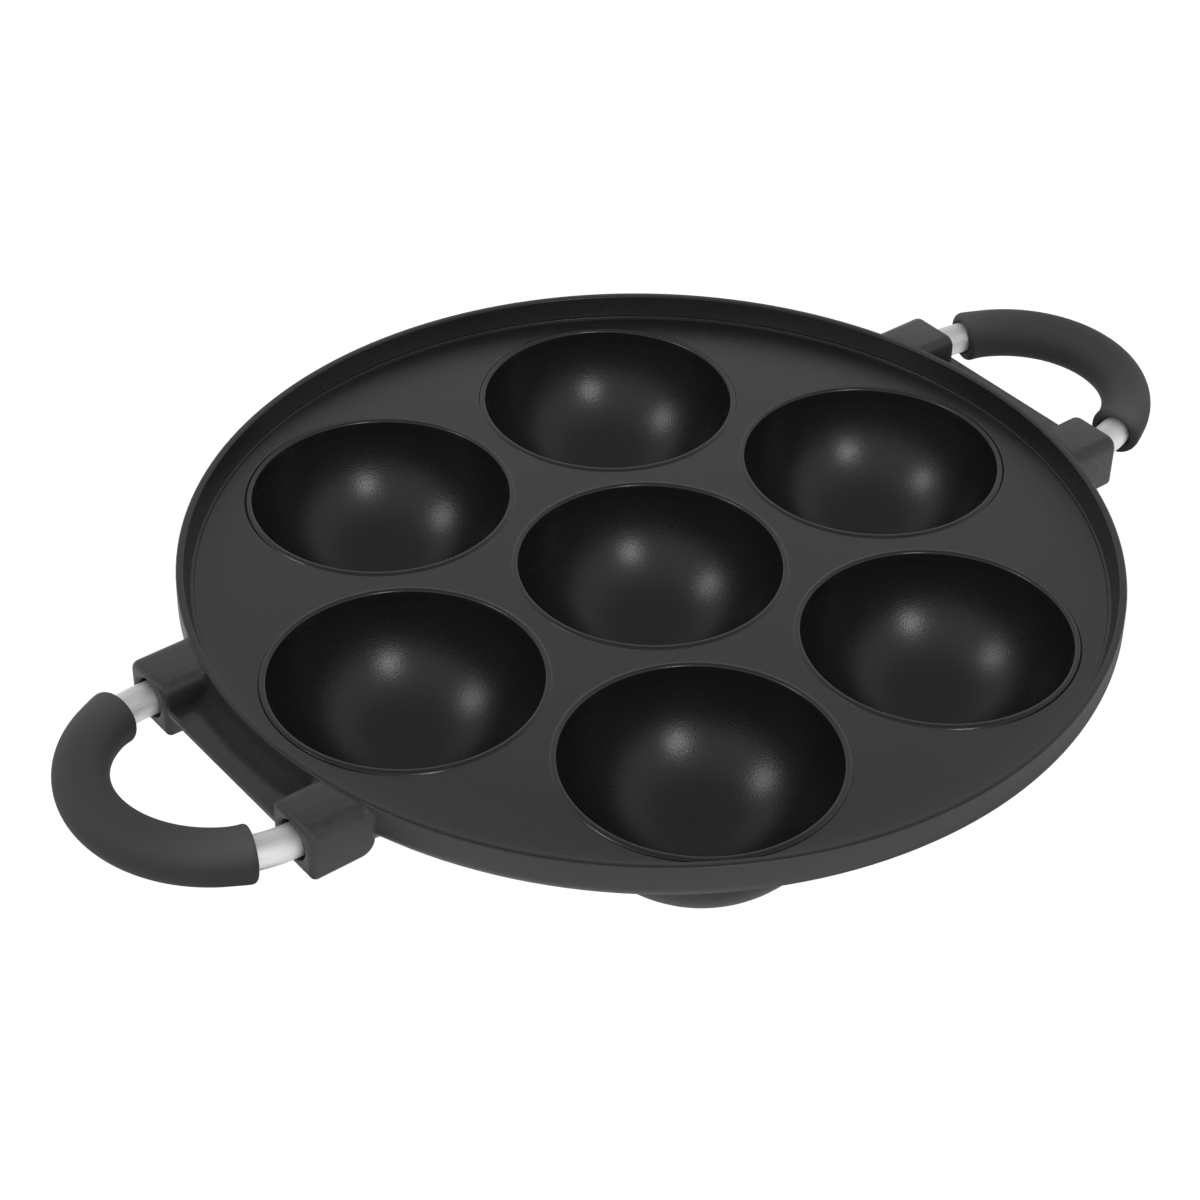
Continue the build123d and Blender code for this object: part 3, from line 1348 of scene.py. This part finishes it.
@dataclass
class LoopHandle:
    """One loop handle: the bent rod and its soft sleeve.

    Angles are from the middle of the loop. The dish's bend is how far in from the sleeve's end it
    is, and how far out from the bore.
    """

    hand: Hand
    frame: HandleFrame
    steel: Material
    silicone: Material
    rod_radius: float = 4.0
    rod_depth: float = 11.0
    rod_end_round: float = 0.6
    rod_end_steps: int = 3
    rod_step: float = 3.0
    rod_facets: int = 48
    sleeve_radius: float = 6.4
    sleeve_end_radius: float = 6.6
    sleeve_half_angle: float = 73.0
    sleeve_swell_angle: float = 10.0
    sleeve_end_round: float = 1.4
    sleeve_end_bulge: float = 0.05
    sleeve_steps: int = 42
    swell_steps: int = 5
    swell_power: float = 1.5
    sleeve_facets: int = 56
    bore_radius: float = 4.1
    dish_radius: float = 4.9
    dish_depth: float = 1.2
    dish_bend: Point = (0.5, 0.1)

    def on_bend(self, angle: float, radius: float) -> Station:
        """A section square to the bend.

        Args:
            angle: where it stands, in degrees from the middle of the loop.
            radius: its radius.

        Returns:
            The section.
        """
        reach = self.frame.span / 2
        turn = math.radians(angle)
        x = self.frame.bend_offset + reach * math.cos(turn)
        return Station(x, reach * math.sin(turn), angle + 90, radius)

    def rod(self) -> Piece:
        """The bent rod with its two straight ends.

        Returns:
            The rod, drawn flat.
        """
        reach = self.frame.span / 2
        edge = self.rod_end_round
        ends = []
        for i in range(self.rod_end_steps + 1):
            turn = math.radians(90 / self.rod_end_steps * i)
            x = -self.rod_depth + edge * (1 - math.cos(turn))
            radius = self.rod_radius - edge + edge * math.sin(turn)
            ends.append((x, radius))
        steps = round(180 / self.rod_step)
        stations = [Station(x, -reach, 0, radius) for x, radius in ends]
        stations += [self.on_bend(-90 + 180 * i / steps, self.rod_radius) for i in range(steps + 1)]
        stations += [Station(x, reach, 180, radius) for x, radius in reversed(ends)]
        return Bench.bar(f"bent_rod_{self.hand.title}", stations, self.rod_facets, True)

    def sleeve(self) -> Piece:
        """The soft sleeve, a little thicker at its ends, which are dished round the rod.

        Returns:
            The sleeve, drawn flat.
        """
        edge, end, bore = self.sleeve_end_round, self.sleeve_end_radius, self.bore_radius
        bend_depth, bend_rise = self.dish_bend
        outline = Outline().line((self.dish_depth, bore))
        outline.soft((bend_depth, bore + bend_rise), (0.0, self.dish_radius), steps=5)
        outline.soft((-self.sleeve_end_bulge, end), (edge, end), steps=7)
        degrees = math.degrees(2 / self.frame.span)
        last = self.sleeve_half_angle
        middle = last - self.sleeve_swell_angle
        end_half = [(last - depth * degrees, radius) for depth, radius in outline.points]
        swell_start = end_half[-1][0]
        for i in range(1, self.swell_steps + 1):
            left = 1 - i / self.swell_steps
            angle = swell_start * left + middle * (1 - left)
            radius = self.sleeve_radius + (end - self.sleeve_radius) * left**self.swell_power
            end_half.append((angle, radius))
        steps = self.sleeve_steps
        body = [(-middle + 2 * middle * i / steps, self.sleeve_radius) for i in range(1, steps)]
        path = [(-angle, radius) for angle, radius in end_half] + body + list(reversed(end_half))
        inner = path[-1][0]
        path += [(inner - 2 * inner * i / steps, bore) for i in range(1, steps + 1)]
        stations = [self.on_bend(angle, radius) for angle, radius in path]
        return Bench.bar(f"soft_sleeve_{self.hand.title}", stations, self.sleeve_facets, False)

    def build(self) -> None:
        """Models and dresses the pieces of this handle."""
        place = self.frame.place(self.hand)
        title = self.hand.title
        rod = Bench.move(self.rod(), place)
        Bench.finish(rod, f"handle_rod_{title}", "rod_steel", self.steel, "bent steel rod")
        sleeve = Bench.move(self.sleeve(), place)
        Bench.finish(sleeve, f"grip_sleeve_{title}", "grip_silicone", self.silicone, "soft grip sleeve")


@dataclass
class RetainingScrews:
    """The four small screws that hold the rod ends from below."""

    frame: HandleFrame
    material: Material
    facets: int = 40
    tip: float = -1.0
    shank_radius: float = 1.5
    tip_round: float = 0.35
    head_radius: float = 2.8
    head_height: float = 1.8
    head_round: float = 0.9
    slot_length: float = 2.9
    slot_width: float = 0.75
    slot_depth: float = 1.15
    slot_reach: float = 0.5
    slot_taper: float = 0.6

    def model(self) -> Piece:
        """One screw on the Z axis, head down, with a tapered cross recess.

        Returns:
            The screw.
        """
        seat, crown, shank = self.frame.screw_seat, self.head_round, self.shank_radius
        low = seat - self.head_height
        outline = Outline().line((0.0, self.tip), (shank - self.tip_round, self.tip))
        outline.line((shank, self.tip - self.tip_round), (shank, seat), (self.head_radius, seat))
        outline.arc((self.head_radius - crown, low + crown), crown, 0, -90, steps=6)
        outline.line((0.0, low))
        screw = Bench.turn("screw", outline, self.facets)
        half = Vector((self.slot_length / 2, self.slot_width / 2, 0))
        start, end = Vector((0, 0, low - self.slot_reach)), Vector((0, 0, low + self.slot_depth))
        for turn in (0.0, math.pi / 2):
            blade = Bench.block("blade", start - half, end + half)
            Bench.pick_edges(blade, lambda at, way: at.z > low and abs(way.z) < ACROSS)
            bpy.ops.transform.resize(value=(self.slot_taper, self.slot_taper, 1))
            Bench.move(blade, Matrix.Rotation(turn, 4, "Z"))
            Bench.combine(screw, blade, Cut.TAKE)
        return screw

    def build(self) -> None:
        """Models one screw and puts a copy in each boss."""
        model = self.model()
        for hand in Hand:
            for side in ENDS:
                end = "back" if side * hand.value > 0 else "front"
                place = self.frame.screw(side)
                if hand is Hand.LEFT:
                    place = half_turn() @ place
                name = f"{hand.title}_{end}"
                screw = Bench.copy(model, f"screw_{name}", place)
                node = f"retaining_screw_{name}"
                Bench.finish(screw, node, "screw_steel", self.material, "retaining screw")
        Bench.drop(model)


# --------------------------------------------------------------------------- studio


@dataclass(frozen=True)
class Paper:
    """What the floor and the cards are covered with: two tones, and how bright it is of itself."""

    dark: Colour
    light: Colour
    grain: Grain
    glow: float = 0.0
    roughness: float = 0.9

    def build(self, name: str) -> Material:
        """Builds the material.

        Args:
            name: the material's name.

        Returns:
            The material.
        """
        surface = Surface(name)
        share = surface.noise(surface.place(), self.grain)
        surface.set(
            Base_Color=surface.tint(share, self.dark, self.light),
            Roughness=self.roughness,
            Emission_Color=WHITE,
            Emission_Strength=self.glow,
        )
        return surface.material


@dataclass(frozen=True)
class Card:
    """A dark round card on the floor, out of the camera's sight, that stands in for the shadow under
    the pan as painted shade, below it and in its reflections.

    It has its middle and radius, how bright it is of itself, which paints the dim light of the shadowed
    floor, and whether reflections show it.
    """

    name: str
    place: Place
    radius: float
    glow: float = 0.0
    mirrored: bool = True


@dataclass(frozen=True)
class Lamp:
    """A square soft lamp that looks at the pan.

    Its direction is in degrees round the pan from +X towards +Y and above the horizon, its
    distance and the length of its side are in metres, and its power is in watts.
    """

    name: str
    azimuth: float
    elevation: float
    distance: float
    size: float
    power: float


@dataclass
class Studio:
    """Pale floor, soft light, dark cards of painted shade, and the camera."""

    floor_size: float = 12.0
    floor_paper: Paper = Paper((0.20, 0.20, 0.20), (0.24, 0.24, 0.24), Grain(40.0), 1.03)
    # Painted shade: the cards are dark, hidden from the camera, and stand in for the shadow under the
    # pan and its rods; the first glows a little as the dim floor in that shadow.
    card_dark: Colour = (0.03, 0.03, 0.03)
    card_light: Colour = (0.05, 0.05, 0.05)
    card_grain: Grain = Grain(20.0)
    card_facets: int = 64
    cards: tuple[Card, ...] = (
        Card("flag", (30.0, -30.0, 0.1), 108.0, glow=0.3),
        Card("wide_flag", (0.0, 0.0, 0.05), 400.0, mirrored=False),
        Card("rod_flag_0", (131.0, 30.0, 0.15), 15.0),
        Card("rod_flag_1", (131.0, -30.0, 0.15), 15.0),
        Card("rod_flag_2", (-131.0, 30.0, 0.15), 15.0),
        Card("rod_flag_3", (-131.0, -30.0, 0.15), 15.0),
    )
    sky_low: float = 0.75
    sky_drop: float = 0.35
    sky_turn: float = 0.75
    sky_blur: float = 0.3
    lamps: tuple[Lamp, ...] = (
        Lamp("key_lamp", 250.5, 28.0, 3.6, 0.7, 17.5),
        Lamp("side_lamp", 157.5, 33.5, 4.0, 1.1, 16.0),
    )
    camera_place: Place = (-0.345987, -0.411339, 0.440907)
    azimuth: float = -38.5033
    elevation: float = 37.9625
    roll: float = 0.9324
    sensor: float = 36.0
    lens: float = 83.167
    shift_x: float = 0.00887
    shift_y: float = 0.0003

    def floor(self) -> None:
        """A wide pale floor under the pan."""
        Bench.clear()
        bpy.ops.mesh.primitive_plane_add(size=self.floor_size, location=(0, 0, 0))
        floor = bpy.context.object
        floor.name = "studio_floor"
        floor.data.materials.append(self.floor_paper.build("pale_paper"))

    def flag(self, card: Card) -> None:
        """Lays out one card of painted shade.

        Args:
            card: what it is like.
        """
        Bench.clear()
        radius, place = card.radius * MM, Vector(card.place) * MM
        bpy.ops.mesh.primitive_circle_add(
            vertices=self.card_facets, radius=radius, fill_type="NGON", location=place
        )
        flag = bpy.context.object
        flag.name = card.name
        paper = Paper(self.card_dark, self.card_light, self.card_grain, card.glow)
        flag.data.materials.append(paper.build(f"{card.name}_card"))
        flag.visible_camera = False
        flag.visible_glossy = card.mirrored

    def sky(self) -> None:
        """A world that is dim overhead and bright low down."""
        world = bpy.data.worlds.new("studio")
        bpy.context.scene.world = world
        world.use_nodes = True
        graph = Graph(world.node_tree)
        way = graph.node("ShaderNodeTexCoord", {}, {}).outputs["Generated"]
        _, _, up = graph.axes(way)
        background = world.node_tree.nodes["Background"]
        background.inputs["Color"].default_value = WHITE
        bright = self.sky_low - self.sky_drop * up.over(self.sky_turn, self.sky_blur)
        graph.plug(background.inputs["Strength"], bright)

    def lamp(self, lamp: Lamp) -> None:
        """Hangs one lamp.

        Args:
            lamp: the lamp.
        """
        turn, rise = math.radians(lamp.azimuth), math.radians(lamp.elevation)
        level = math.cos(rise)
        way = Vector((math.cos(turn) * level, math.sin(turn) * level, math.sin(rise)))
        light = bpy.data.lights.new(lamp.name, "AREA")
        light.size = lamp.size
        light.energy = lamp.power
        holder = bpy.data.objects.new(lamp.name, light)
        bpy.context.scene.collection.objects.link(holder)
        aim = way.to_track_quat("Z", "Y").to_matrix().to_4x4()
        holder.matrix_world = Matrix.Translation(way * lamp.distance) @ aim

    def camera(self) -> None:
        """The camera, at the place and turn from which the pan is seen."""
        azimuth, elevation, roll = (math.radians(a) for a in (self.azimuth, self.elevation, self.roll))
        level = math.cos(elevation)
        back = Vector((math.sin(azimuth) * level, -math.cos(azimuth) * level, math.sin(elevation)))
        right = Vector((math.cos(azimuth), math.sin(azimuth), 0))
        up = back.cross(right)
        turned_right = right * math.cos(roll) + up * math.sin(roll)
        turned_up = up * math.cos(roll) - right * math.sin(roll)
        camera = bpy.data.cameras.new("camera")
        camera.sensor_width = self.sensor
        camera.lens = self.lens
        camera.shift_x = self.shift_x
        camera.shift_y = self.shift_y
        holder = bpy.data.objects.new("camera", camera)
        bpy.context.scene.collection.objects.link(holder)
        matrix = Matrix((turned_right, turned_up, back)).transposed().to_4x4()
        matrix.translation = Vector(self.camera_place)
        holder.matrix_world = matrix
        bpy.context.scene.camera = holder

    def build(self) -> None:
        """Sets up camera, floor, cards and light."""
        self.camera()
        self.floor()
        for card in self.cards:
            self.flag(card)
        self.sky()
        for lamp in self.lamps:
            self.lamp(lamp)
        bpy.context.scene.view_settings.view_transform = "Standard"
        LOG.info("studio: floor, %d cards, %d lamps and camera", len(self.cards), len(self.lamps))


def main() -> None:
    """Loads the solids and builds each piece in order."""
    logging.basicConfig(level=logging.INFO, format="%(name)s: %(message)s")
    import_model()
    Studio().build()
    frame = HandleFrame()
    Casting(NonstickCoat().build(), frame).build()
    silicone = SoftSilicone().build()
    for hand in Hand:
        LoopHandle(hand, frame, BrushedSteel().build(hand, frame), silicone).build()
    RetainingScrews(frame, ScrewSteel().build()).build()


if __name__ == "__main__":
    main()
